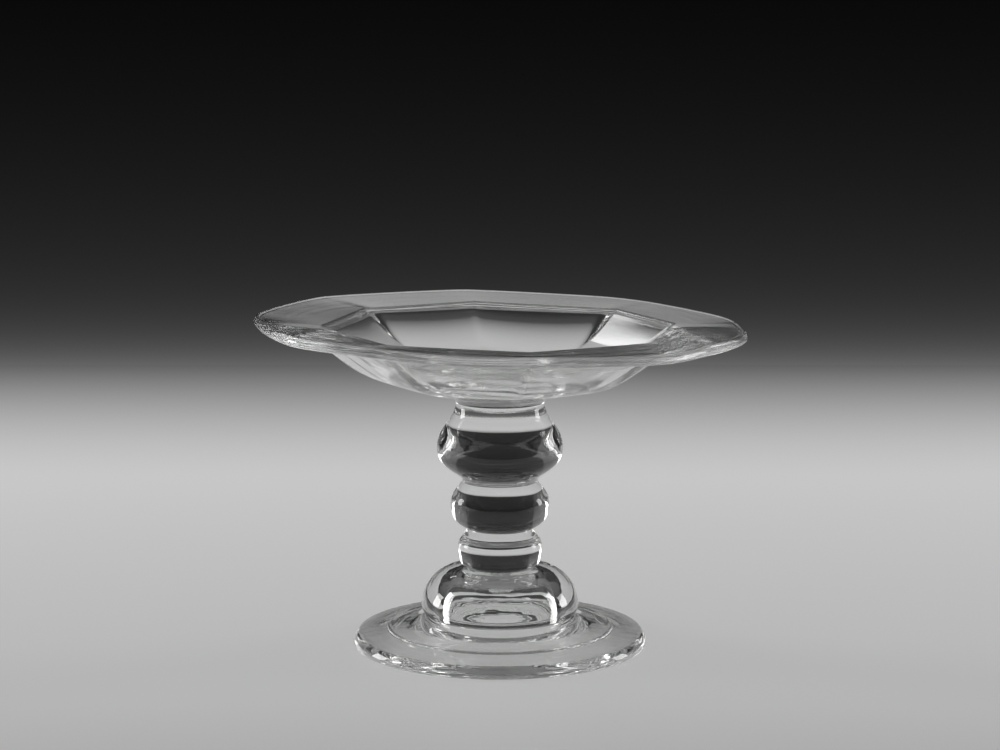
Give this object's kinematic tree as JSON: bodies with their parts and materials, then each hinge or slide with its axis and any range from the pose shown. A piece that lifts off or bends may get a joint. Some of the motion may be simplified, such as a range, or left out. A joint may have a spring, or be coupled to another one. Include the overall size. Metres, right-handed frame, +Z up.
{
  "type": "patch stand",
  "caption": "Clear glass patch stand: a shallow octagonal pan with a wide flange and rounded lip, on a knopped stem and a domed, stepped foot.",
  "frame": {"origin": "on the surface that the stand rests on, under the middle of the foot", "axes": "+Z up through the stem; +Y away from the viewer of the picture; +X to that viewer's right"},
  "size_m": [0.0942, 0.0932, 0.0643],
  "materials": {
    "pan_glass": "fire-polished clear lead glass, mould-blown panels",
    "stem_glass": "clear lead glass, tooled hot",
    "foot_glass": "clear lead glass, tooled hot, fine wear on the resting ring",
    "broken_glass": "cracked-off glass, rough"
  },
  "bodies": {
    "root": {"pontil_scar": "broken_glass", "foot_plate": "foot_glass", "foot_dome": "foot_glass", "lower_knop": "stem_glass", "middle_knop": "stem_glass", "upper_knop": "stem_glass", "pan_merese": "stem_glass", "pan": "pan_glass"}
  },
  "joints": []
}
